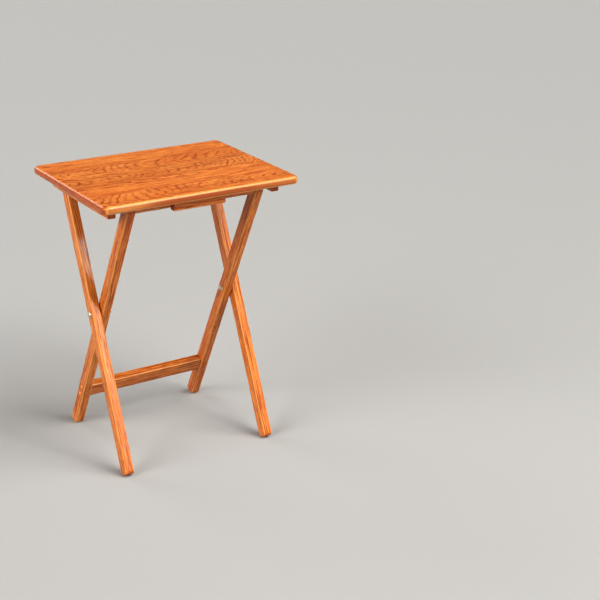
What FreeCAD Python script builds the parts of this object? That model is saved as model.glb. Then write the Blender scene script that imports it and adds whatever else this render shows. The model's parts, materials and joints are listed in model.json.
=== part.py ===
import FreeCAD, Part
import math
import os
import Sketcher

# Folding tray table: a solid wood top on two crossed leg frames.
# X runs along the long side of the top, -Y is the front, +Z is up.
# The origin is on the floor under the middle of the table, which stands open.
#
# The outer frame is the two outer legs. They lean back and carry the top on two rear
# pivot screws, through the cleats under the top.
# The inner frame is the two inner legs with a round rail on top and a stretcher below.
# It turns on two cross bolts, and its rail carries the front of the top.

Vector = FreeCAD.Vector
Rotation = FreeCAD.Rotation
Placement = FreeCAD.Placement

doc = FreeCAD.newDocument("folding_tray_table")
sheet = doc.addObject("Spreadsheet::Sheet", "Sizes")

# Driving sizes in millimetres, degrees for angles.
DRIVING = [
    ("overall_width", 496),
    ("overall_depth", 368),
    ("overall_height", 660),
    # top
    ("top_thickness", 19),
    ("top_edge_round", 7.5),
    ("top_corner_round", 15),
    ("board_count", 5),
    ("side_overhang", 29.5),
    ("rear_overhang", 53),
    # legs
    ("leg_thickness", 22),
    ("leg_width", 28),
    ("leg_edge_round", 3.5),
    ("foot_round", 10),
    ("leg_end_flat", 1),
    ("cross_height", 344),
    ("pivot_clearance", 0.5),
    # cleats under the top
    ("cleat_thickness", 19),
    ("cleat_height", 24),
    ("cleat_rear_reach", 14),
    ("cleat_front_setback", 44),
    ("cleat_round", 2.5),
    ("cleat_end_round", 11),
    ("cleat_screw_first", 37),
    ("cleat_screw_spacing", 110),
    # rail and stretcher
    ("rail_diameter", 22),
    ("rail_clearance", 0.2),
    ("stretcher_height", 104),
    ("stretcher_depth", 20),
    ("stretcher_rise", 38),
    ("stretcher_round", 3),
    ("stretcher_screw_spacing", 22),
    # stop block
    ("block_length", 134),
    ("block_depth", 14),
    ("block_rise", 25),
    ("block_clearance", 0.5),
    ("block_round", 4),
    ("block_screw_spacing", 84),
    # washers and running gaps
    ("washer_thickness", 1.2),
    ("side_gap", 0.2),
    ("running_clearance", 0.05),
    # cross bolts
    ("bolt_diameter", 6),
    ("bolt_head_diameter", 13),
    ("bolt_head_rise", 4),
    ("bolt_washer_diameter", 15),
    ("nut_width", 10),
    ("nut_rise", 5),
    ("bolt_end", 1.6),
    # top pivot screws
    ("pivot_diameter", 5),
    ("pivot_head_diameter", 10),
    ("pivot_head_rise", 3),
    ("pivot_washer_diameter", 13),
    ("pivot_tip_cover", 3),
    # wood screws and plugs
    ("screw_diameter", 3.5),
    ("screw_head_diameter", 7),
    ("screw_head_rise", 2.4),
    ("screw_tip_rise", 4),
    ("screw_grip", 20),
    ("top_screw_grip", 12),
    ("counterbore_diameter", 8),
    ("counterbore_depth", 9),
    ("block_counterbore_depth", 12),
    ("plug_diameter", 9),
    ("plug_bore_depth", 9),
    ("plug_depth", 6),
    ("plug_dome", 1),
]

# Worked-out sizes: each is an expression of the cells above it.
DERIVED = [
    ("washer_gap", "=washer_thickness + side_gap"),
    ("cleat_outer_x", "=overall_width / 2 - side_overhang"),
    ("cleat_inner_x", "=cleat_outer_x - cleat_thickness"),
    ("outer_leg_x", "=cleat_inner_x - washer_gap"),
    ("outer_leg_inner_x", "=outer_leg_x - leg_thickness"),
    ("inner_leg_x", "=outer_leg_inner_x - washer_gap"),
    ("inner_leg_inner_x", "=inner_leg_x - leg_thickness"),
    ("underside", "=overall_height - top_thickness"),
    ("pivot_drop", "=leg_width / 2 + pivot_clearance"),
    ("pivot_z", "=underside - pivot_drop"),
    ("pivot_y", "=overall_depth / 2 - rear_overhang"),
    ("leg_tilt", "=atan(pivot_y / (pivot_z - cross_height))"),
    ("upper_arm", "=(pivot_z - cross_height) / cos(leg_tilt)"),
    ("foot_corner", "=leg_width / 2 - foot_round"),
    ("lower_arm", "=foot_round + (cross_height - foot_round - foot_corner * sin(leg_tilt)) / cos(leg_tilt)"),
    ("leg_end_round", "=(leg_width - leg_end_flat) / 2"),
    ("rail_radius", "=rail_diameter / 2"),
    ("rail_rise", "=pivot_drop - rail_radius - rail_clearance"),
    ("rail_arm", "=upper_arm + rail_rise"),
    ("rail_y", "=-rail_arm * sin(leg_tilt)"),
    ("rail_z", "=cross_height + rail_arm * cos(leg_tilt)"),
    ("stretcher_arm", "=(cross_height - stretcher_height) / cos(leg_tilt)"),
    ("cleat_front_y", "=-(overall_depth / 2 - cleat_front_setback)"),
    ("cleat_rear_y", "=pivot_y + cleat_rear_reach"),
    ("block_rear_y", "=rail_y - rail_radius - block_clearance"),
    ("block_front_y", "=block_rear_y - block_depth"),
    ("board_width", "=overall_depth / board_count"),
]

for row, (alias, value) in enumerate(DRIVING + DERIVED, start=1):
    cell = "A%d" % row
    sheet.set(cell, str(value))
    sheet.setAlias(cell, alias)
doc.recompute()


def size(alias):
    """The number in a named cell, in millimetres or degrees."""
    value = sheet.get(alias)
    return float(getattr(value, "Value", value))


nodes = []


def keep(feature, label):
    """Marks a finished object as a sub-part, which its Label names."""
    feature.Label = label
    nodes.append(feature)
    return feature


def bind(feature, **expressions):
    """Binds properties of a feature to cells: underscores in a name stand for dots."""
    for name, expression in expressions.items():
        feature.setExpression(name.replace("__", "."), expression)


def place(feature, x="0", y="0", z="0", axis=Vector(0, 0, 1), angle="0"):
    """Sets a Placement whose numbers follow the cells."""
    feature.Placement = Placement(Vector(0, 0, 0), Rotation(axis, 1))
    bind(feature, Placement__Base__x=x, Placement__Base__y=y, Placement__Base__z=z)
    feature.setExpression("Placement.Rotation.Angle", angle)


def cells(expression):
    """Writes Sizes. before every cell name of an expression."""
    words = sorted((alias for alias, _ in DRIVING + DERIVED), key=len, reverse=True)
    out = ""
    at = 0
    while at < len(expression):
        word = next((w for w in words if expression.startswith(w, at)), None)
        if word is None:
            out += expression[at]
            at += 1
        else:
            out += "Sizes." + word
            at += len(word)
    return out


# ---------------------------------------------------------------- PartDesign helpers


def body_plane(body, role):
    return next(f for f in body.Origin.OriginFeatures if f.Role == role)


def new_sketch(body, name, role):
    sketch = body.newObject("Sketcher::SketchObject", name)
    sketch.AttachmentSupport = [(body_plane(body, role), "")]
    sketch.MapMode = "FlatFace"
    return sketch


def dimension(sketch, kind, references, expression):
    """Adds a dimension whose value follows the cells."""
    index = sketch.addConstraint(Sketcher.Constraint(kind, *references, 1.0))
    sketch.setExpression("Constraints[%d]" % index, cells(expression))


def outline(body, name, role, corners):
    """A closed sketch of straight lines. Each corner is a pair of expressions."""
    sketch = new_sketch(body, name, role)
    count = len(corners)
    for i in range(count):
        turn = 2 * math.pi * i / count
        step = 2 * math.pi * (i + 1) / count
        start = Vector(10 * math.cos(turn), 10 * math.sin(turn), 0)
        end = Vector(10 * math.cos(step), 10 * math.sin(step), 0)
        sketch.addGeometry(Part.LineSegment(start, end), False)
    for i in range(count):
        sketch.addConstraint(Sketcher.Constraint("Coincident", i, 2, (i + 1) % count, 1))
    for i, (across, up) in enumerate(corners):
        dimension(sketch, "DistanceX", (-1, 1, i, 1), across)
        dimension(sketch, "DistanceY", (-1, 1, i, 1), up)
    return sketch


def rectangle(body, name, role, left, right, low, high):
    corners = [(left, low), (right, low), (right, high), (left, high)]
    return outline(body, name, role, corners)


def circles(body, name, role, centres, diameter):
    sketch = new_sketch(body, name, role)
    for i, (across, up) in enumerate(centres):
        circle = Part.Circle(Vector(10 * i + 5, 5, 0), Vector(0, 0, 1), 2)
        sketch.addGeometry(circle, False)
        dimension(sketch, "DistanceX", (-1, 1, i, 3), across)
        dimension(sketch, "DistanceY", (-1, 1, i, 3), up)
        dimension(sketch, "Diameter", (i,), diameter)
    return sketch


def pad(body, sketch, length, reverse=False, both_ways=False):
    feature = body.newObject("PartDesign::Pad", sketch.Name + "_pad")
    feature.Profile = sketch
    feature.Midplane = both_ways
    feature.Reversed = reverse
    feature.setExpression("Length", cells(length))
    doc.recompute()
    return feature


def drill(body, sketch, depth):
    """Cuts a sketch into the solid that lies on one side of its plane, to a depth."""
    before = body.Shape.Volume
    feature = body.newObject("PartDesign::Pocket", sketch.Name + "_cut")
    feature.Profile = sketch
    feature.Midplane = True
    feature.setExpression("Length", cells("2 * (" + depth + ")"))
    doc.recompute()
    if not body.Shape.Volume < before - 1e-6:
        raise RuntimeError(sketch.Name + " cuts nothing")
    return feature


def round_edges(body, name, radius, chosen):
    """Fillets the edges of the body's last feature for which chosen(edge) is true."""
    base = body.Tip
    edges = ["Edge%d" % (i + 1) for i, edge in enumerate(base.Shape.Edges) if chosen(edge)]
    feature = body.newObject("PartDesign::Fillet", name)
    feature.Base = (base, edges)
    feature.setExpression("Radius", cells(radius))
    doc.recompute()
    return feature


def middle(edge):
    span = (edge.FirstParameter + edge.LastParameter) / 2
    return edge.valueAt(span)


def along(edge, direction):
    """True if the edge is straight and runs along the direction."""
    if edge.Curve.TypeId != "Part::GeomLine":
        return False
    return abs(edge.tangentAt(edge.FirstParameter).dot(direction)) > 0.999


def turned(label, profile):
    """A turned piece: a closed profile of (radius, height) pairs, about the Z axis."""
    body = doc.addObject("PartDesign::Body", label)
    sketch = outline(body, label + "_profile", "XZ_Plane", profile)
    feature = body.newObject("PartDesign::Revolution", label + "_turn")
    feature.Profile = sketch
    feature.ReferenceAxis = (sketch, ["V_Axis"])
    feature.Angle = 360
    doc.recompute()
    return body


# ---------------------------------------------------------------- Part helpers


def cylinder(name, radius, height):
    feature = doc.addObject("Part::Cylinder", name)
    bind(feature, Radius=cells(radius), Height=cells(height))
    return feature


def ring(name, outer_radius, inner_radius, height):
    """A flat washer from z = 0 upwards."""
    disc = cylinder(name + "_disc", outer_radius, height)
    bore = cylinder(name + "_bore", inner_radius, height)
    feature = doc.addObject("Part::Cut", name)
    feature.Base = disc
    feature.Tool = bore
    return feature


def wood_screw(name, length):
    """A pan-head wood screw. Its head bears on z = 0 and it points to -Z."""
    head = doc.addObject("Part::Cone", name + "_head")
    bind(head, Radius1=cells("screw_head_diameter / 2"), Radius2=cells("screw_head_diameter / 3"))
    bind(head, Height=cells("screw_head_rise"))
    shank = cylinder(name + "_shank", "screw_diameter / 2", length + " - screw_tip_rise")
    place(shank, z=cells("-(" + length + ") + screw_tip_rise"))
    tip = doc.addObject("Part::Cone", name + "_tip")
    bind(tip, Radius1=cells("screw_diameter / 10"), Radius2=cells("screw_diameter / 2"))
    bind(tip, Height=cells("screw_tip_rise"))
    place(tip, z=cells("-(" + length + ")"))
    feature = doc.addObject("Part::MultiFuse", name)
    feature.Shapes = [head, shank, tip]
    return feature


def group(label, pieces):
    """One node that holds identical separate pieces."""
    feature = doc.addObject("Part::Compound", label)
    feature.Links = pieces
    return keep(feature, label)


SIDES = (("left", -1), ("right", 1))
ALONG_X = Vector(1, 0, 0)
ALONG_Y = Vector(0, 1, 0)
ALONG_Z = Vector(0, 0, 1)


def outward(side):
    """The turn about Y that points local +Z outwards, away from the middle."""
    return str(90 * side)


# ---------------------------------------------------------------- top


CLEAT_SCREW_COUNT = 3


def top_screw_places(kind):
    """Where the screws of the cleats or of the stop block enter the top."""
    if kind == "block":
        middle_y = "(block_rear_y + block_front_y) / 2"
        return [("%d * block_screw_spacing / 2" % side, middle_y) for _, side in SIDES]
    return [
        (
            "%d * (cleat_outer_x - cleat_thickness / 2)" % side,
            "cleat_rear_y - cleat_screw_first - %d * cleat_screw_spacing" % i,
        )
        for _, side in SIDES for i in range(CLEAT_SCREW_COUNT)
    ]


def make_top():
    """The glued top: one shaped blank cut into boards that meet face to face."""
    blank = doc.addObject("PartDesign::Body", "top_blank")
    sketch = rectangle(
        blank, "top_outline", "XY_Plane",
        "-overall_width / 2", "overall_width / 2", "-overall_depth / 2", "overall_depth / 2",
    )
    pad(blank, sketch, "top_thickness")
    round_edges(blank, "top_corners", "top_corner_round", lambda e: along(e, ALONG_Z))
    round_edges(blank, "top_edges", "top_edge_round", lambda e: abs(e.tangentAt(e.FirstParameter).z) < 0.01)
    pilots = ["cleat", "block"]
    for kind in pilots:
        holes = circles(blank, kind + "_pilots", "XY_Plane", top_screw_places(kind), "screw_diameter")
        drill(blank, holes, "top_screw_grip")
    place(blank, z=cells("underside"))
    for i in range(int(size("board_count"))):
        strip = doc.addObject("Part::Box", "strip_%d" % (i + 1))
        bind(strip, Length=cells("overall_width"), Width=cells("board_width"), Height=cells("top_thickness"))
        place(
            strip, x=cells("-overall_width / 2"),
            y=cells("-overall_depth / 2 + %d * board_width" % i), z=cells("underside"),
        )
        board = doc.addObject("Part::Common", "board_%d" % (i + 1))
        board.Base = blank
        board.Tool = strip
        keep(board, "top_board_%d" % (i + 1))


def make_cleat(name, side):
    """A cleat under the top, pivoted on the outer leg at its rounded rear end.

    Locally x = 0 is its outer face, y = 0 the pivot axis and z = 0 its lower face.
    """
    body = doc.addObject("PartDesign::Body", "cleat_" + name)
    front = "cleat_front_y - pivot_y"
    side_view = rectangle(
        body, "cleat_side_" + name, "YZ_Plane", front, "cleat_rear_reach", "0", "cleat_height",
    )
    pad(body, side_view, "cleat_thickness", reverse=side > 0)
    rear = size("cleat_rear_reach")
    round_edges(
        body, "cleat_rear_end_" + name, "cleat_end_round",
        lambda e: along(e, ALONG_X) and middle(e).y > rear - 0.01 and middle(e).z < 0.01,
    )
    round_edges(
        body, "cleat_lower_edges_" + name, "cleat_round",
        lambda e: middle(e).z < size("cleat_height") - 0.01 and not along(e, ALONG_Z),
    )
    pivot = circles(
        body, "cleat_pivot_" + name, "YZ_Plane", [("0", "cleat_height - pivot_drop")],
        "pivot_diameter + 2 * running_clearance",
    )
    drill(body, pivot, "cleat_thickness + 1")
    middle_x = "%d * cleat_thickness / 2" % -side
    screws = [
        (middle_x, "cleat_rear_reach - cleat_screw_first - %d * cleat_screw_spacing" % i)
        for i in range(CLEAT_SCREW_COUNT)
    ]
    drill(body, circles(body, "cleat_holes_" + name, "XY_Plane", screws, "screw_diameter"), "cleat_height + 1")
    drill(
        body, circles(body, "cleat_bores_" + name, "XY_Plane", screws, "counterbore_diameter"),
        "counterbore_depth",
    )
    place(
        body, x=cells("%d * cleat_outer_x" % side), y=cells("pivot_y"), z=cells("underside - cleat_height"),
    )
    keep(body, "cleat_" + name)


def make_top_screws(label, kind, height, bore_depth):
    """Screws driven upwards into the top, from counterbores in the piece they hold."""
    screws = []
    for i, (x, y) in enumerate(top_screw_places(kind)):
        screw = wood_screw("%s_screw_%d" % (kind, i + 1), "%s - %s + top_screw_grip" % (height, bore_depth))
        z = "underside - %s + %s" % (height, bore_depth)
        place(screw, x=cells(x), y=cells(y), z=cells(z), axis=ALONG_X, angle="180")
        screws.append(screw)
    group(label, screws)


def make_stop_block():
    """The block under the front of the top, which the rail bears on when the legs are open."""
    body = doc.addObject("PartDesign::Body", "stop_block")
    plan = rectangle(
        body, "block_plan", "XY_Plane",
        "-block_length / 2", "block_length / 2", "-block_depth / 2", "block_depth / 2",
    )
    pad(body, plan, "block_rise")
    round_edges(
        body, "block_ends", "block_round", lambda e: along(e, ALONG_Z) and middle(e).y < 0,
    )
    round_edges(
        body, "block_lower_edges", "block_round",
        lambda e: middle(e).z < 0.01 and middle(e).y < size("block_depth") / 2 - 0.01,
    )
    holes = [("%d * block_screw_spacing / 2" % side, "0") for _, side in SIDES]
    drill(body, circles(body, "block_holes", "XY_Plane", holes, "screw_diameter"), "block_rise + 1")
    drill(
        body, circles(body, "block_bores", "XY_Plane", holes, "counterbore_diameter"),
        "block_counterbore_depth",
    )
    place(body, y=cells("(block_rear_y + block_front_y) / 2"), z=cells("underside - block_rise"))
    keep(body, "stop_block")


# ---------------------------------------------------------------- legs


def make_leg(label, side, outer_face, tilt):
    """A leg. Locally x = 0 is its outer face, z runs up the leg and the origin is on the cross bolt."""
    body = doc.addObject("PartDesign::Body", label)
    half = "leg_width / 2"
    side_view = rectangle(
        body, label + "_side", "YZ_Plane", "-" + half, half, "-lower_arm", "upper_arm + " + half,
    )
    pad(body, side_view, "leg_thickness", reverse=side > 0)
    round_edges(
        body, label + "_top_end", "leg_end_round", lambda e: along(e, ALONG_X) and middle(e).z > 0,
    )
    round_edges(
        body, label + "_foot", "foot_round",
        lambda e: along(e, ALONG_X) and middle(e).z < 0 and abs(abs(middle(e).y) - size("leg_width") / 2) < 0.01,
    )
    round_edges(
        body, label + "_edges", "leg_edge_round", lambda e: not along(e, ALONG_X),
    )
    place(
        body, x=cells("%d * %s" % (side, outer_face)), z=cells("cross_height"), axis=ALONG_X,
        angle=cells("%s * leg_tilt" % tilt),
    )
    return body


def make_outer_leg(name, side):
    body = make_leg("outer_leg_" + name, side, "outer_leg_x", "-1")
    bolt = circles(body, "outer_bolt_" + name, "YZ_Plane", [("0", "0")], "bolt_diameter")
    drill(body, bolt, "leg_thickness + 1")
    pivot = circles(
        body, "outer_pivot_" + name, "YZ_Plane", [("0", "upper_arm")],
        "pivot_diameter",
    )
    drill(body, pivot, "leg_thickness - pivot_tip_cover")
    keep(body, "outer_leg_" + name)


STRETCHER_SCREWS = ("1", "-1")


def make_inner_leg(name, side):
    body = make_leg("inner_leg_" + name, side, "inner_leg_x", "1")
    bolt = circles(
        body, "inner_bolt_" + name, "YZ_Plane", [("0", "0")], "bolt_diameter + 2 * running_clearance",
    )
    drill(body, bolt, "leg_thickness + 1")
    places = [("0", "rail_arm")]
    places += [("0", "-stretcher_arm + %s * stretcher_screw_spacing / 2" % s) for s in STRETCHER_SCREWS]
    holes = circles(body, "inner_holes_" + name, "YZ_Plane", places, "screw_diameter")
    drill(body, holes, "leg_thickness + 1")
    bores = circles(body, "inner_bores_" + name, "YZ_Plane", places, "plug_diameter")
    drill(body, bores, "plug_bore_depth")
    keep(body, "inner_leg_" + name)


# The places of the inner frame's fasteners: distance up the inner leg from the cross bolt.
FRAME_SCREWS = {
    "rail": ["rail_arm"],
    "stretcher": [
        "(-stretcher_arm + %s * stretcher_screw_spacing / 2)" % s for s in STRETCHER_SCREWS
    ],
}


def on_inner_leg(feature, side, depth, arm):
    """Lays a piece on the inner leg at a depth under its outer face, its +Z outwards."""
    place(
        feature, x=cells("%d * (inner_leg_x - (%s))" % (side, depth)),
        y=cells("-%s * sin(leg_tilt)" % arm), z=cells("cross_height + %s * cos(leg_tilt)" % arm),
        axis=ALONG_Y, angle=outward(side),
    )


def make_frame_fasteners(kind):
    """The screws of the rail or the stretcher, and the domed wood plugs over them."""
    screws = []
    plugs = []
    for name, side in SIDES:
        for i, arm in enumerate(FRAME_SCREWS[kind]):
            tag = "%s_%s_%d" % (kind, name, i + 1)
            screw = wood_screw(tag + "_screw", "leg_thickness - plug_bore_depth + screw_grip")
            on_inner_leg(screw, side, "plug_bore_depth", arm)
            screws.append(screw)
            plug = make_plug(tag + "_plug")
            on_inner_leg(plug, side, "plug_depth", arm)
            plugs.append(plug)
    group(kind + "_screws", screws)
    group(kind + "_plugs", plugs)


def make_plug(name):
    """A wood plug that fills its hole and ends in a low dome."""
    peg = cylinder(name + "_peg", "plug_diameter / 2", "plug_depth + plug_dome")
    feature = doc.addObject("Part::Fillet", name)
    feature.Base = peg
    doc.recompute()
    radius = size("plug_dome") * 0.95
    rims = [
        i + 1 for i, e in enumerate(peg.Shape.Edges)
        if e.Curve.TypeId == "Part::GeomCircle" and middle(e).z > size("plug_depth")
    ]
    feature.Edges = [(i, radius, radius) for i in rims]
    return feature


def with_pilots(bar, kind):
    """A bar between the inner legs with a pilot hole in each end for each of its screws."""
    tools = []
    for name, side in SIDES:
        for i, arm in enumerate(FRAME_SCREWS[kind]):
            pilot = cylinder("%s_pilot_%s_%d" % (kind, name, i + 1), "screw_diameter / 2", "screw_grip + 1")
            on_inner_leg(pilot, side, "leg_thickness + screw_grip", arm)
            tools.append(pilot)
    pilots = doc.addObject("Part::MultiFuse", kind + "_pilots")
    pilots.Shapes = tools
    feature = doc.addObject("Part::Cut", kind + "_drilled")
    feature.Base = bar
    feature.Tool = pilots
    return feature


def make_rail():
    """The round rail between the tops of the inner legs, under the front of the top."""
    rod = cylinder("rail_rod", "rail_radius", "2 * inner_leg_inner_x")
    place(
        rod, x=cells("-inner_leg_inner_x"), y=cells("rail_y"), z=cells("rail_z"), axis=ALONG_Y, angle="90",
    )
    keep(with_pilots(rod, "rail"), "top_rail")


def make_stretcher():
    """The flat stretcher between the lower ends of the inner legs, in line with them."""
    body = doc.addObject("PartDesign::Body", "stretcher")
    section = rectangle(
        body, "stretcher_section", "YZ_Plane", "-stretcher_depth / 2", "stretcher_depth / 2",
        "-stretcher_rise / 2", "stretcher_rise / 2",
    )
    pad(body, section, "2 * inner_leg_inner_x", both_ways=True)
    round_edges(body, "stretcher_edges", "stretcher_round", lambda e: along(e, ALONG_X))
    place(
        body, y=cells("stretcher_arm * sin(leg_tilt)"), z=cells("stretcher_height"), axis=ALONG_X,
        angle=cells("leg_tilt"),
    )
    keep(with_pilots(body, "stretcher"), "lower_stretcher")


# ---------------------------------------------------------------- pivots


def make_cross_bolt(name, side):
    """A domed bolt through both legs of one side. Locally z = 0 is under its head."""
    reach = "-(2 * leg_thickness + washer_gap + washer_thickness + nut_rise + bolt_end)"
    half = "bolt_diameter / 2"
    bolt = turned("cross_bolt_" + name, [
        ("0", reach), (half, reach), (half, "0"), ("bolt_head_diameter / 2", "0"),
        ("bolt_head_diameter / 2", "bolt_head_rise"), ("0", "bolt_head_rise"),
    ])
    rim = size("bolt_head_rise")
    round_edges(
        bolt, "cross_bolt_dome_" + name, "bolt_head_rise * 0.9",
        lambda e: e.Curve.TypeId == "Part::GeomCircle" and middle(e).z > rim - 0.01,
    )
    place(
        bolt, x=cells("%d * outer_leg_x" % side), z=cells("cross_height"), axis=ALONG_Y, angle=outward(side),
    )
    keep(bolt, "cross_bolt_" + name)


def make_cross_nut(name, side):
    """A hexagon nut on the inner face of the inner leg, over its washer."""
    prism = doc.addObject("Part::Prism", "nut_prism_" + name)
    prism.Polygon = 6
    bind(prism, Circumradius=cells("nut_width / 2 / cos(30)"), Height=cells("nut_rise"))
    hexagon = doc.addObject("Part::Chamfer", "nut_hexagon_" + name)
    hexagon.Base = prism
    doc.recompute()
    bevel = size("nut_width") * 0.06
    low = size("nut_rise") - 0.01
    rims = [i + 1 for i, e in enumerate(prism.Shape.Edges) if middle(e).z > low]
    hexagon.Edges = [(i, bevel, bevel) for i in rims]
    bore = cylinder("nut_bore_" + name, "bolt_diameter / 2", "nut_rise")
    nut = doc.addObject("Part::Cut", "nut_" + name)
    nut.Base = hexagon
    nut.Tool = bore
    place(
        nut, x=cells("%d * (inner_leg_inner_x - washer_thickness)" % side), z=cells("cross_height"),
        axis=ALONG_Y, angle=outward(-side),
    )
    keep(nut, "cross_nut_" + name)


def make_washers(label, inner_x, outer_diameter, inner_diameter, y, z):
    """A washer on each side, which lies outwards from inner_x."""
    washers = []
    for name, side in SIDES:
        washer = ring(
            label + "_" + name, outer_diameter + " / 2", inner_diameter + " / 2", "washer_thickness",
        )
        place(
            washer, x=cells("%d * (%s)" % (side, inner_x)), y=cells(y), z=cells(z), axis=ALONG_Y,
            angle=outward(side),
        )
        washers.append(washer)
    group(label, washers)


def make_pivot_screw(name, side):
    """A domed screw through the cleat into the top of the outer leg. z = 0 is under its head."""
    reach = "-(cleat_thickness + washer_gap + leg_thickness - pivot_tip_cover - 0.5)"
    half = "pivot_diameter / 2"
    screw = turned("pivot_screw_" + name, [
        ("0", reach), (half, reach), (half, "0"), ("pivot_head_diameter / 2", "0"),
        ("pivot_head_diameter / 2", "pivot_head_rise"), ("0", "pivot_head_rise"),
    ])
    rim = size("pivot_head_rise")
    round_edges(
        screw, "pivot_screw_dome_" + name, "pivot_head_rise * 0.9",
        lambda e: e.Curve.TypeId == "Part::GeomCircle" and middle(e).z > rim - 0.01,
    )
    place(
        screw, x=cells("%d * (cleat_outer_x + side_gap)" % side), y=cells("pivot_y"), z=cells("pivot_z"),
        axis=ALONG_Y, angle=outward(side),
    )
    keep(screw, "pivot_screw_" + name)


make_top()
for side_name, side_sign in SIDES:
    make_cleat(side_name, side_sign)
    make_outer_leg(side_name, side_sign)
    make_inner_leg(side_name, side_sign)
    make_cross_bolt(side_name, side_sign)
    make_cross_nut(side_name, side_sign)
    make_pivot_screw(side_name, side_sign)
make_stop_block()
make_top_screws("cleat_screws", "cleat", "cleat_height", "counterbore_depth")
make_top_screws("stop_block_screws", "block", "block_rise", "block_counterbore_depth")
make_rail()
make_stretcher()
make_frame_fasteners("rail")
make_frame_fasteners("stretcher")
make_washers(
    "leg_washers", "inner_leg_x + side_gap", "bolt_washer_diameter", "bolt_diameter", "0", "cross_height",
)
make_washers(
    "nut_washers", "inner_leg_inner_x - washer_thickness", "bolt_washer_diameter", "bolt_diameter", "0",
    "cross_height",
)
make_washers(
    "pivot_washers", "outer_leg_x + side_gap / 2", "pivot_washer_diameter", "pivot_diameter", "pivot_y",
    "pivot_z",
)

doc.recompute()

for thing in doc.Objects:
    if "Invalid" in thing.State or "Error" in thing.State:
        raise RuntimeError("%s failed: %s" % (thing.Label, thing.State))
for node in nodes:
    if node.Shape.isNull() or not node.Shape.isValid() or not node.Shape.Solids:
        raise RuntimeError(node.Label + " has no valid shape")

os.makedirs("parts", exist_ok=True)
for node in nodes:
    node.Shape.exportStep("parts/%s.step" % node.Label)
print("%d nodes, leg tilt %.2f degrees" % (len(nodes), size("leg_tilt")))
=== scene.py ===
import json
import math
import random
from typing import NamedTuple

import bpy
from mathutils import Euler, Matrix, Vector

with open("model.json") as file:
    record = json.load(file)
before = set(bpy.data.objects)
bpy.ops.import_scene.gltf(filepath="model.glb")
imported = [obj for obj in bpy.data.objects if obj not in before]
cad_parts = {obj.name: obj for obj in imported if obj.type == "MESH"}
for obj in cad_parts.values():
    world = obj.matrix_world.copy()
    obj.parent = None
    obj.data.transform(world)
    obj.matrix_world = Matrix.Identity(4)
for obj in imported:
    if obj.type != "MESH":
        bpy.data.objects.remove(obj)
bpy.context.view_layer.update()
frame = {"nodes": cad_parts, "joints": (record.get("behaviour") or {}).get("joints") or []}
nodes = frame["nodes"]

# Folding tray table in glossy honey-stained oak.
# Every shape is a CAD node: this script gives each piece its own oak or metal, and sets
# up the floor, the lights and the camera. Lengths are in metres and angles in degrees.

# ------------------------------------------------------------------ colours (linear)

HONEY = (0.645, 0.216, 0.047)
AMBER = (0.565, 0.162, 0.030)
STRAW = (0.710, 0.300, 0.080)
STREAK = (0.235, 0.034, 0.006)
PORE = (0.100, 0.016, 0.004)
# pale edges: partly stain rubbed thin, partly a painted highlight on the arrises and the top's
# rounded edge
PALE_WEAR_AND_HIGHLIGHT = (0.740, 0.345, 0.105)
BRASSED = (0.78, 0.70, 0.58)
BRASS_TARNISH = (0.42, 0.32, 0.22)
STEEL = (0.62, 0.58, 0.52)
STEEL_TARNISH = (0.30, 0.24, 0.19)
FLOOR = (0.32, 0.32, 0.32)
WALL = (1.0, 0.99, 0.97)
KEY_LIGHT = (1.0, 0.97, 0.92)
SIDE_LIGHT = (1.0, 0.98, 0.95)
GLINT_LIGHT = (1.0, 0.96, 0.88)

# ------------------------------------------------------------------ patterns in oak and metal


class Pattern(NamedTuple):
    """A noise, which begins to show where it is above low, and shows fully above high."""

    scale: tuple  # swings per metre along, across and through the grain
    detail: float
    roughness: float = 0.5
    low: float = 0.0
    high: float = 1.0


BEND = Pattern((4.0, 9.0, 9.0), 1.5)
RIPPLE = Pattern((18.0, 70.0, 70.0), 2.5)
UNEVEN = Pattern((4.0, 14.0, 14.0), 1.5)
STRENGTH = Pattern((22.0, 150.0, 150.0), 3.0, 0.6, 0.38, 0.56)
RIDGES = Pattern((11.0, 320.0, 320.0), 2.0, 0.6, 0.52, 0.64)
STROKES = Pattern((12.0, 360.0, 360.0), 3.0, 0.6, 0.52, 0.60)
PORES = Pattern((55.0, 1500.0, 1500.0), 2.0, 0.6, 0.56, 0.68)
FIBRES = Pattern((22.0, 420.0, 420.0), 3.0, 0.65, 0.46, 0.68)
FLECKS = Pattern((150.0, 900.0, 60.0), 1.0, 0.5, 0.66, 0.74)
DRIFT = Pattern((2.6, 17.0, 17.0), 2.5, 0.5, 0.32, 0.68)
HAZE = Pattern((38.0, 38.0, 38.0), 3.0, 0.5, 0.3, 0.7)
TARNISH = Pattern((420.0, 420.0, 420.0), 3.0, 0.5, 0.42, 0.72)
TURNING_MARKS = Pattern((400.0, 2600.0, 2600.0), 2.0)

# How much of each colour is laid over the wood, or the metal, where its pattern is full.
RIDGE_SHARE = 0.60
RING_SHARE = 0.90
STROKE_SHARE = 0.80
FIBRE_SHARE = 0.46
PORE_SHARE = 0.62
FLECK_SHARE = 0.22
# the pale edges' share is partly wear and partly painted highlight
WEAR_AND_HIGHLIGHT_SHARE = 0.70
END_SHARE = 0.60
TARNISH_SHARE = 0.55

BEND_REACH = 0.034  # how far the log's slow wobble moves the rings
RIPPLE_REACH = 0.0046  # how far the small ripples move them
UNEVEN_YEARS = 1.6  # how many years' growth the ring widths vary by
ROUND_FULL = 0.001  # the top's rounded edge is fully pale this far in: rubbed stain and painted highlight
ROUND_END = 0.007  # and not pale at all from here on
SEAM_CORE = 0.0004  # half the width of a glue line's dark middle
SEAM_FADE = 0.0017  # where a glue line has faded out
RAGGED_WEAR_AND_HIGHLIGHT = 0.0035  # how unevenly the pale edges end, rubbed stain and painted highlight alike
LOG_REACH = 40.0  # how far from one another the pieces are cut, so that no two match

# ------------------------------------------------------------------ oak pieces


def joint_place(name):
    """Where a joint's axis lies when the table stands open."""
    return next(Vector(joint["pos_m"]) for joint in frame["joints"] if joint["name"] == name)


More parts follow.
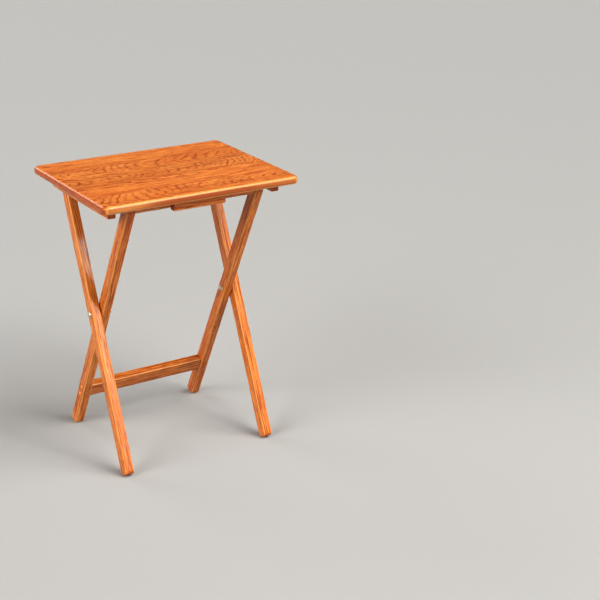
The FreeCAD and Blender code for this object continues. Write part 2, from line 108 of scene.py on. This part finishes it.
# The outer legs lean from their crossing with the inner ones up to the top's pivots.
UP_THE_LEG = joint_place("top_pivot") - joint_place("leg_fold")
LEG_TILT = math.degrees(math.atan2(UP_THE_LEG.y, UP_THE_LEG.z))
USUAL_RINGS = 0.0045  # width of a year's ring
USUAL_WEAR_AND_HIGHLIGHT = 0.0034  # how far in from its edges a piece is paled, by rubbed stain and painted highlight
# the top's pale edge, rubbed stain and painted highlight, reaches further in
TOP_WEAR_AND_HIGHLIGHT = 0.0085
NO_SEAMS = (0.0, 0.0, 0.0)

# Turns, about X, Y and Z, that bring a piece's grain onto the X axis.
GRAIN_ALONG_X = (0, 0, 0)
GRAIN_ALONG_Y = (0, 0, -90)
GRAIN_ALONG_Z = (0, 90, 0)

# The boards of the top: where each one's pith lies across and below it, how fast the pith
# dives along it, how wide its rings are and how light it is.
BOARD_GRAIN = (
    ("top_board_1", (0.004, -0.070, 0.20), 0.0042, 1.00),
    ("top_board_2", (0.040, -0.055, 0.08), 0.0046, 1.05),
    ("top_board_3", (0.012, -0.072, -0.21), 0.0040, 0.94),
    ("top_board_4", (-0.012, -0.068, 0.19), 0.0042, 0.98),
    ("top_board_5", (0.042, -0.050, 0.07), 0.0046, 1.05),
)

# The other pieces of oak: the turn of the grain, the lean of the piece, then as for a board.
OAK_PIECES = (
    ("outer_leg_left", GRAIN_ALONG_Z, LEG_TILT, (-0.035, 0.05, 0.012), 0.0042, 1.00),
    ("outer_leg_right", GRAIN_ALONG_Z, LEG_TILT, (0.035, 0.05, 0.012), 0.0042, 1.00),
    # the inner legs are toned darker (0.94): painted shade for their down-facing fronts
    ("inner_leg_left", GRAIN_ALONG_Z, -LEG_TILT, (0.045, 0.04, -0.010), 0.0040, 0.94),
    ("inner_leg_right", GRAIN_ALONG_Z, -LEG_TILT, (-0.045, 0.04, -0.010), 0.0040, 0.94),
    ("cleat_left", GRAIN_ALONG_Y, 0.0, (0.02, -0.05, 0.01), USUAL_RINGS, 1.00),
    ("cleat_right", GRAIN_ALONG_Y, 0.0, (-0.03, -0.05, 0.01), USUAL_RINGS, 1.00),
    ("top_rail", GRAIN_ALONG_X, 0.0, (0.03, -0.04, 0.01), USUAL_RINGS, 1.00),
    ("stop_block", GRAIN_ALONG_X, 0.0, (0.03, -0.04, 0.03), USUAL_RINGS, 1.00),
    # the stretcher is toned darker (0.88): painted shade for its down-facing front
    ("lower_stretcher", GRAIN_ALONG_X, -LEG_TILT, (0.02, 0.03, 0.03), USUAL_RINGS, 0.88),
    # the plugs are toned lighter (1.30): a painted highlight on their domed heads
    ("rail_plugs", GRAIN_ALONG_Z, LEG_TILT, (0.02, 0.03, 0.0), 0.0030, 1.30),
    ("stretcher_plugs", GRAIN_ALONG_Z, LEG_TILT, (0.02, 0.03, 0.0), 0.0030, 1.30),
)

# ------------------------------------------------------------------ shader nodes


class Graph:
    """Adds shader nodes to a node tree. Each call but node and link returns output sockets."""

    def __init__(self, tree):
        self.tree = tree

    def node(self, kind, **settings):
        made = self.tree.nodes.new(kind)
        for name, value in settings.items():
            setattr(made, name, value)
        return made

    def link(self, value, socket):
        """Connects a socket, or sets a constant."""
        if isinstance(value, bpy.types.NodeSocket):
            self.tree.links.new(value, socket)
        elif isinstance(value, tuple) and len(value) == 3 and len(socket.default_value) == 4:
            socket.default_value = (*value, 1.0)
        else:
            socket.default_value = value

    def math(self, operation, a, b=0.0):
        made = self.node("ShaderNodeMath", operation=operation)
        self.link(a, made.inputs[0])
        self.link(b, made.inputs[1])
        return made.outputs[0]

    def vector(self, operation, a, b=(0.0, 0.0, 0.0)):
        made = self.node("ShaderNodeVectorMath", operation=operation)
        self.link(a, made.inputs[0])
        self.link(b, made.inputs[1])
        return made.outputs["Value" if operation == "LENGTH" else "Vector"]

    def parts(self, vector):
        made = self.node("ShaderNodeSeparateXYZ")
        self.link(vector, made.inputs[0])
        return made.outputs[0], made.outputs[1], made.outputs[2]

    def join(self, x, y, z):
        made = self.node("ShaderNodeCombineXYZ")
        for value, socket in zip((x, y, z), made.inputs):
            self.link(value, socket)
        return made.outputs[0]

    def noise(self, place, pattern, output="Fac"):
        """The pattern's bare noise, before low and high."""
        made = self.node("ShaderNodeTexNoise")
        self.link(self.vector("MULTIPLY", place, pattern.scale), made.inputs["Vector"])
        made.inputs["Scale"].default_value = 1.0
        made.inputs["Detail"].default_value = pattern.detail
        made.inputs["Roughness"].default_value = pattern.roughness
        return made.outputs[output]

    def shown(self, noise, pattern, least=0.0, most=1.0):
        """How strongly a pattern shows: least where its noise is low, and most where high."""
        return self.span(noise, pattern.low, pattern.high, least, most)

    def wander(self, place, pattern, reach):
        """A shift across and through the grain that drifts by up to half of reach."""
        noise = self.noise(place, pattern, "Color")
        centred = self.vector("SUBTRACT", noise, (0.5, 0.5, 0.5))
        return self.vector("MULTIPLY", centred, (0.0, reach, reach))

    def span(self, value, low, high, to_low=0.0, to_high=1.0):
        """Maps low..high smoothly to to_low..to_high."""
        made = self.node("ShaderNodeMapRange", interpolation_type="SMOOTHSTEP")
        self.link(value, made.inputs["Value"])
        ends = {"From Min": low, "From Max": high, "To Min": to_low, "To Max": to_high}
        for name, number in ends.items():
            made.inputs[name].default_value = number
        return made.outputs["Result"]

    def mix(self, factor, a, b):
        made = self.node("ShaderNodeMix", data_type="RGBA")
        self.link(factor, made.inputs["Factor"])
        self.link(a, made.inputs["A"])
        self.link(b, made.inputs["B"])
        return made.outputs["Result"]

    def lay(self, paint, share, pattern, base):
        """Lays paint over base, by the given share where the pattern is 1."""
        return self.mix(self.math("MULTIPLY", pattern, share), base, paint)


def empty_material(name):
    """A new material with no nodes, and the graph that fills it."""
    material = bpy.data.materials.new(name)
    material.use_nodes = True
    material.node_tree.nodes.clear()
    return material, Graph(material.node_tree)


def finish_material(g, shader, height, strength, distance):
    """Adds the bump to a shader and leads it to the material's output."""
    bump = g.node("ShaderNodeBump")
    bump.inputs["Strength"].default_value = strength
    bump.inputs["Distance"].default_value = distance
    g.link(height, bump.inputs["Height"])
    g.link(bump.outputs["Normal"], shader.inputs["Normal"])
    out = g.node("ShaderNodeOutputMaterial")
    g.link(shader.outputs["BSDF"], out.inputs["Surface"])


# ------------------------------------------------------------------ oak


def growth_rings(g, given, place):
    """The dark spring wood of each year, 0 to 1, round a pith that dives through the piece.

    A flat face cuts the slanting rings into arches, which are the cathedrals of the grain.
    """
    bend = g.wander(place, BEND, BEND_REACH)
    ripple = g.wander(place, RIPPLE, RIPPLE_REACH)
    warp = g.vector("ADD", bend, ripple)

    pith_across, pith_deep, dive = g.parts(given["Pith"])
    x, y, z = g.parts(given["Coordinates"])
    pith_here = g.math("ADD", pith_deep, g.math("MULTIPLY", x, dive))
    from_pith = g.join(0.0, g.math("SUBTRACT", y, pith_across), g.math("SUBTRACT", z, pith_here))
    radius = g.vector("LENGTH", g.vector("ADD", from_pith, warp))

    uneven = g.math("MULTIPLY", g.noise(place, UNEVEN), UNEVEN_YEARS)
    year = g.math("ADD", g.math("DIVIDE", radius, given["Ring Width"]), uneven)

    # dark soon after each year begins, and faded out by its middle
    phase = g.math("FRACT", year)
    rise = g.span(phase, 0.0, 0.08)
    fall = g.span(phase, 0.14, 0.48, 1.0, 0.0)
    spring = g.math("MULTIPLY", rise, fall)

    # some stretches, and some years, stand out less
    strength = g.shown(g.noise(place, STRENGTH), STRENGTH, least=0.10)
    rings = g.math("MULTIPLY", spring, strength)
    season = g.node("ShaderNodeTexWhiteNoise", noise_dimensions="1D")
    g.link(g.math("FLOOR", year), season.inputs["W"])
    return g.math("MULTIPLY", rings, g.span(season.outputs["Value"], 0.0, 0.5, 0.35, 1.0))


def open_pores(g, place, rings):
    """Short dark dashes, crowded into the spring wood."""
    dashes = g.shown(g.noise(place, PORES), PORES)
    crowding = g.math("ADD", g.math("MULTIPLY", rings, 0.75), 0.25)
    return g.math("MULTIPLY", dashes, crowding)


def plain_wood(g, place, drift, rings, fibres, pores):
    """The stained wood's colour before wear: a broad drift, then each pattern over it."""
    ridges, strokes, flecks = (g.shown(g.noise(place, p), p) for p in (RIDGES, STROKES, FLECKS))
    colour = g.mix(g.shown(drift, DRIFT), HONEY, AMBER)
    for paint, share, pattern in (
        (STRAW, RIDGE_SHARE, ridges),
        (STREAK, RING_SHARE, rings),
        (STREAK, STROKE_SHARE, strokes),
        (STREAK, FIBRE_SHARE, fibres),
        (PORE, PORE_SHARE, pores),
        (HONEY, FLECK_SHARE, flecks),
    ):
        colour = g.lay(paint, share, pattern, colour)
    return colour


def worn_and_highlit_edges(g, given, coarse):
    """Where the edges are paled, partly by stain rubbed thin and partly as a painted highlight:
    long edges, and the whole round of the top's.
    """
    inset = g.vector("SUBTRACT", given["Half Size"], g.vector("ABSOLUTE", given["Coordinates"]))
    _, inset_y, inset_z = g.parts(inset)
    ragged = g.math("MULTIPLY", g.math("SUBTRACT", coarse, 0.5), RAGGED_WEAR_AND_HIGHLIGHT)
    edge = g.math("ADD", g.math("MAXIMUM", inset_y, inset_z), ragged)
    wear_and_highlight = g.span(g.math("DIVIDE", edge, given["Wear And Highlight"]), 0.15, 1.0, 1.0, 0.0)
    _, _, on_top = g.parts(given["Seams"])
    rounded = g.span(inset_y, ROUND_FULL, ROUND_END, 1.0, 0.0)
    return g.math("MAXIMUM", wear_and_highlight, g.math("MULTIPLY", rounded, on_top))


def glue_lines(g, given, drift):
    """Thin dark lines along the two edges of a board of the top, fainter in places."""
    _, y, _ = g.parts(given["Coordinates"])
    seam_low, seam_high, on_top = g.parts(given["Seams"])
    from_low = g.math("ABSOLUTE", g.math("SUBTRACT", y, seam_low))
    from_high = g.math("ABSOLUTE", g.math("SUBTRACT", y, seam_high))
    nearest = g.math("MINIMUM", from_low, from_high)
    line = g.span(nearest, SEAM_CORE, SEAM_FADE, 1.0, 0.0)
    faintness = g.span(drift, 0.35, 0.60, 0.35, 0.85)
    return g.math("MULTIPLY", line, g.math("MULTIPLY", on_top, faintness))


def make_oak_group():
    """Solid oak: growth rings round a pith, open pores, ray flecks and pale edges, partly worn and
    partly painted highlight.

    Coordinates are metres from the piece's middle, with X along the grain. Seams holds
    where a board's two edges lie across the top, and 1 on a board or 0 elsewhere.
    """
    group = bpy.data.node_groups.new("oak", "ShaderNodeTree")
    for name in ("Coordinates", "Grain Offset", "Pith", "Half Size", "Facing", "Seams"):
        group.interface.new_socket(name=name, in_out="INPUT", socket_type="NodeSocketVector")
    for name in ("Ring Width", "Wear And Highlight", "Tone"):
        group.interface.new_socket(name=name, in_out="INPUT", socket_type="NodeSocketFloat")
    group.interface.new_socket(name="Color", in_out="OUTPUT", socket_type="NodeSocketColor")
    for name in ("Roughness", "Height"):
        group.interface.new_socket(name=name, in_out="OUTPUT", socket_type="NodeSocketFloat")
    g = Graph(group)
    given = g.node("NodeGroupInput").outputs
    result = g.node("NodeGroupOutput").inputs

    place = g.vector("ADD", given["Coordinates"], given["Grain Offset"])
    drift = g.noise(place, DRIFT)
    coarse = g.noise(place, FIBRES)
    fibres = g.shown(coarse, FIBRES)
    rings = growth_rings(g, given, place)
    pores = open_pores(g, place, rings)
    wear_and_highlight = worn_and_highlit_edges(g, given, coarse)

    colour = plain_wood(g, place, drift, rings, fibres, pores)
    # paler edges: partly rubbed stain, partly a painted highlight along the arrises and the top's
    # rounded edge
    colour = g.lay(PALE_WEAR_AND_HIGHLIGHT, WEAR_AND_HIGHLIGHT_SHARE, wear_and_highlight, colour)
    colour = g.mix(glue_lines(g, given, drift), colour, STREAK)

    # end grain drinks more stain
    facing_along, _, _ = g.parts(given["Facing"])
    end = g.span(g.math("ABSOLUTE", facing_along), 0.35, 0.85)
    colour = g.lay(STREAK, END_SHARE, end, colour)

    tone = g.node("ShaderNodeHueSaturation")
    g.link(given["Tone"], tone.inputs["Value"])
    g.link(colour, tone.inputs["Color"])
    g.link(tone.outputs["Color"], result["Color"])

    # the lacquer is hazy in patches, and duller in the pores and on the pale edges
    haze = g.shown(g.noise(place, HAZE), HAZE, least=0.20, most=0.30)
    dull = g.math("ADD", g.math("MULTIPLY", pores, 0.20), g.math("MULTIPLY", wear_and_highlight, 0.05))
    g.link(g.math("ADD", haze, dull), result["Roughness"])

    # pores are the deepest grooves
    shallow = g.math("MULTIPLY", g.math("ADD", rings, fibres), -0.15)
    g.link(g.math("ADD", g.math("MULTIPLY", pores, -0.7), shallow), result["Height"])
    return group


OAK = make_oak_group()
draw = random.Random(7)


def anywhere():
    """A random place in the grain."""
    return tuple(draw.uniform(-LOG_REACH, LOG_REACH) for _ in range(3))


def grain_turn(turn, tilt=0.0):
    """The rotation that brings a piece lying tilted about X onto the grain axis X."""
    lean = Matrix.Rotation(math.radians(tilt), 3, "X")
    return Euler([math.radians(a) for a in turn]).to_matrix() @ lean


def local_box(members, rotation):
    """The middle and half sizes of CAD nodes in the rotated frame."""
    corners = [rotation @ v.co for name in members for v in nodes[name].data.vertices]
    low = Vector([min(c[i] for c in corners) for i in range(3)])
    high = Vector([max(c[i] for c in corners) for i in range(3)])
    return (low + high) / 2, (high - low) / 2


def put_on(name, material):
    """Gives a CAD node one material in place of its packed ones."""
    mesh = nodes[name].data
    mesh.materials.clear()
    mesh.materials.append(material)


def put_oak_on(name, rotation, box, pith, ring_width, tone, wear_and_highlight_width=USUAL_WEAR_AND_HIGHLIGHT, seams=NO_SEAMS):
    """Lacquered oak of its own for one node. box is the middle and half sizes its pale edges
    follow.
    """
    middle, half = box
    material, g = empty_material("oak_" + name)
    shader = g.node("ShaderNodeBsdfPrincipled")
    shader.inputs["Coat Weight"].default_value = 0.34
    shader.inputs["Coat Roughness"].default_value = 0.15
    shader.inputs["Coat IOR"].default_value = 1.5
    shader.inputs["IOR"].default_value = 1.45
    shader.inputs["Specular IOR Level"].default_value = 0.12

    here = g.node("ShaderNodeTexCoord").outputs
    place = g.node("ShaderNodeMapping", vector_type="POINT")
    place.inputs["Rotation"].default_value = rotation.to_euler()
    place.inputs["Location"].default_value = -middle
    g.link(here["Object"], place.inputs["Vector"])
    facing = g.node("ShaderNodeMapping", vector_type="VECTOR")
    facing.inputs["Rotation"].default_value = rotation.to_euler()
    g.link(here["Normal"], facing.inputs["Vector"])

    wood = g.node("ShaderNodeGroup", node_tree=OAK)
    g.link(place.outputs["Vector"], wood.inputs["Coordinates"])
    g.link(facing.outputs["Vector"], wood.inputs["Facing"])
    wood.inputs["Grain Offset"].default_value = anywhere()
    wood.inputs["Pith"].default_value = pith
    wood.inputs["Half Size"].default_value = half
    wood.inputs["Ring Width"].default_value = ring_width
    wood.inputs["Tone"].default_value = tone
    wood.inputs["Wear And Highlight"].default_value = wear_and_highlight_width
    wood.inputs["Seams"].default_value = seams
    g.link(wood.outputs["Color"], shader.inputs["Base Color"])
    g.link(wood.outputs["Roughness"], shader.inputs["Roughness"])
    finish_material(g, shader, wood.outputs["Height"], strength=0.22, distance=0.0003)
    put_on(name, material)


def dress_top():
    """The boards' grain runs along X. The pale edge, rubbed stain and painted highlight, follows
    the whole top, not each board.
    """
    rotation = grain_turn(GRAIN_ALONG_X)
    top_box = local_box([board[0] for board in BOARD_GRAIN], rotation)
    for name, (across, deep, dive), ring_width, tone in BOARD_GRAIN:
        middle, half = local_box([name], rotation)
        shift = middle.y - top_box[0].y
        pith = (across + shift, deep, dive)
        seams = (shift - half.y, shift + half.y, 1.0)
        put_oak_on(name, rotation, top_box, pith, ring_width, tone, TOP_WEAR_AND_HIGHLIGHT, seams)


def dress_frames():
    """The legs and every other piece of oak, each with its own grain."""
    for name, turn, tilt, pith, ring_width, tone in OAK_PIECES:
        rotation = grain_turn(turn, tilt)
        put_oak_on(name, rotation, local_box([name], rotation), pith, ring_width, tone)


# ------------------------------------------------------------------ metal


def metal_material(name, colour, tarnished, roughness):
    """Bare or plated steel with fine turning marks and a little tarnish."""
    material, g = empty_material(name)
    shader = g.node("ShaderNodeBsdfPrincipled")
    shader.inputs["Metallic"].default_value = 1.0
    place = g.node("ShaderNodeTexCoord").outputs["Object"]
    tarnish = g.shown(g.noise(place, TARNISH), TARNISH)
    marks = g.noise(place, TURNING_MARKS)
    g.link(g.lay(tarnished, TARNISH_SHARE, tarnish, colour), shader.inputs["Base Color"])
    polish = g.math("ADD", g.math("MULTIPLY", tarnish, 0.14), roughness)
    g.link(g.math("ADD", polish, g.math("MULTIPLY", marks, 0.08)), shader.inputs["Roughness"])
    finish_material(g, shader, marks, strength=0.15, distance=0.0001)
    return material


def dress_hardware():
    """Brassy plating on the bolts, nuts and washers, and plain steel on the wood screws."""
    brassed = metal_material("brassed_steel", BRASSED, BRASS_TARNISH, 0.24)
    steel = metal_material("screw_steel", STEEL, STEEL_TARNISH, 0.30)
    for name in nodes:
        if name.startswith(("cross_bolt", "cross_nut", "pivot_screw")) or name.endswith("washers"):
            put_on(name, brassed)
        elif name.endswith("screws"):
            put_on(name, steel)


# ------------------------------------------------------------------ floor and room


def make_floor():
    """A pale matt floor, just under the feet so that the two never share a plane."""
    reach = 60.0
    drop = 0.0003
    mesh = bpy.data.meshes.new("floor")
    corners = [(-reach, -reach, 0), (reach, -reach, 0), (reach, reach, 0), (-reach, reach, 0)]
    mesh.from_pydata(corners, [], [(0, 1, 2, 3)])
    floor = bpy.data.objects.new("floor", mesh)
    bpy.context.scene.collection.objects.link(floor)
    material = bpy.data.materials.new("floor")
    material.use_nodes = True
    shader = material.node_tree.nodes["Principled BSDF"]
    shader.inputs["Base Color"].default_value = (*FLOOR, 1.0)
    shader.inputs["Roughness"].default_value = 0.8
    shader.inputs["Specular IOR Level"].default_value = 0.1
    mesh.materials.append(material)
    floor.location.z = -drop


def make_room():
    """A dim room, which gives little light of its own, with a pale wall behind the floor."""
    world = bpy.data.worlds.new("studio")
    world.use_nodes = True
    world.node_tree.nodes.clear()
    g = Graph(world.node_tree)
    seen = g.node("ShaderNodeMixShader")
    g.link(g.node("ShaderNodeLightPath").outputs["Is Camera Ray"], seen.inputs["Fac"])
    room_light = 0.08
    wall_brightness = 0.62
    for strength, socket in ((room_light, seen.inputs[1]), (wall_brightness, seen.inputs[2])):
        wall = g.node("ShaderNodeBackground")
        wall.inputs["Color"].default_value = (*WALL, 1.0)
        wall.inputs["Strength"].default_value = strength
        g.link(wall.outputs["Background"], socket)
    out = g.node("ShaderNodeOutputWorld")
    g.link(seen.outputs["Shader"], out.inputs["Surface"])
    bpy.context.scene.world = world


# ------------------------------------------------------------------ light and camera


def add_lamp(light, colour, direction):
    """Puts a light into the scene so that it shines along direction."""
    light.color = colour
    lamp = bpy.data.objects.new(light.name, light)
    bpy.context.scene.collection.objects.link(lamp)
    lamp.rotation_euler = direction.to_track_quat("-Z", "Y").to_euler()
    return lamp


def soft_sun(name, towards, strength, width, colour):
    """A soft, even light from far away. towards points from the table to the light."""
    light = bpy.data.lights.new(name, "SUN")
    light.energy = strength
    light.angle = math.radians(width)
    add_lamp(light, colour, -Vector(towards))


def strip_light(name, place, target, width, height, power, colour):
    """A tall narrow panel, which glints along the near leg."""
    light = bpy.data.lights.new(name, "AREA")
    light.shape = "RECTANGLE"
    light.size = width
    light.size_y = height
    light.energy = power
    lamp = add_lamp(light, colour, Vector(target) - Vector(place))
    lamp.location = place


def make_lights():
    """A key from the front right, a side light from the left, a weak one behind, and a glint."""
    soft_sun("key", (0.37, -0.52, 0.77), 3.7, 52.0, KEY_LIGHT)
    soft_sun("side", (-0.88, -0.12, 0.42), 3.1, 44.0, SIDE_LIGHT)
    soft_sun("back", (-0.30, 0.84, 0.45), 0.9, 30.0, SIDE_LIGHT)
    near_leg = (-0.15, -0.10, 0.45)
    strip_light("glint", (1.08, -2.40, 1.95), near_leg, 0.60, 2.4, 30.0, GLINT_LIGHT)


def make_camera():
    """Stands where the photographer stood, with a long lens."""
    yaw, pitch, roll = (math.radians(a) for a in (34.62, 19.14, 1.69))
    level_ahead = math.cos(pitch)
    forward = Vector((math.sin(yaw) * level_ahead, math.cos(yaw) * level_ahead, -math.sin(pitch)))
    lens = bpy.data.cameras.new("camera")
    lens.sensor_width = 36.0  # sensor and lens are in millimetres
    lens.lens = 83.382
    lens.shift_y = -0.1
    lens.clip_end = 200.0
    camera = bpy.data.objects.new("camera", lens)
    bpy.context.scene.collection.objects.link(camera)
    camera.location = (-1.482, -2.697, 1.564)
    level = forward.to_track_quat("-Z", "Y").to_matrix()
    camera.rotation_euler = (level @ Matrix.Rotation(roll, 3, "Z")).to_euler()
    bpy.context.scene.camera = camera


dress_top()
dress_frames()
dress_hardware()
make_floor()
make_room()
make_lights()
make_camera()
bpy.context.scene.view_settings.view_transform = "Standard"
bpy.context.scene.view_settings.look = "Medium High Contrast"
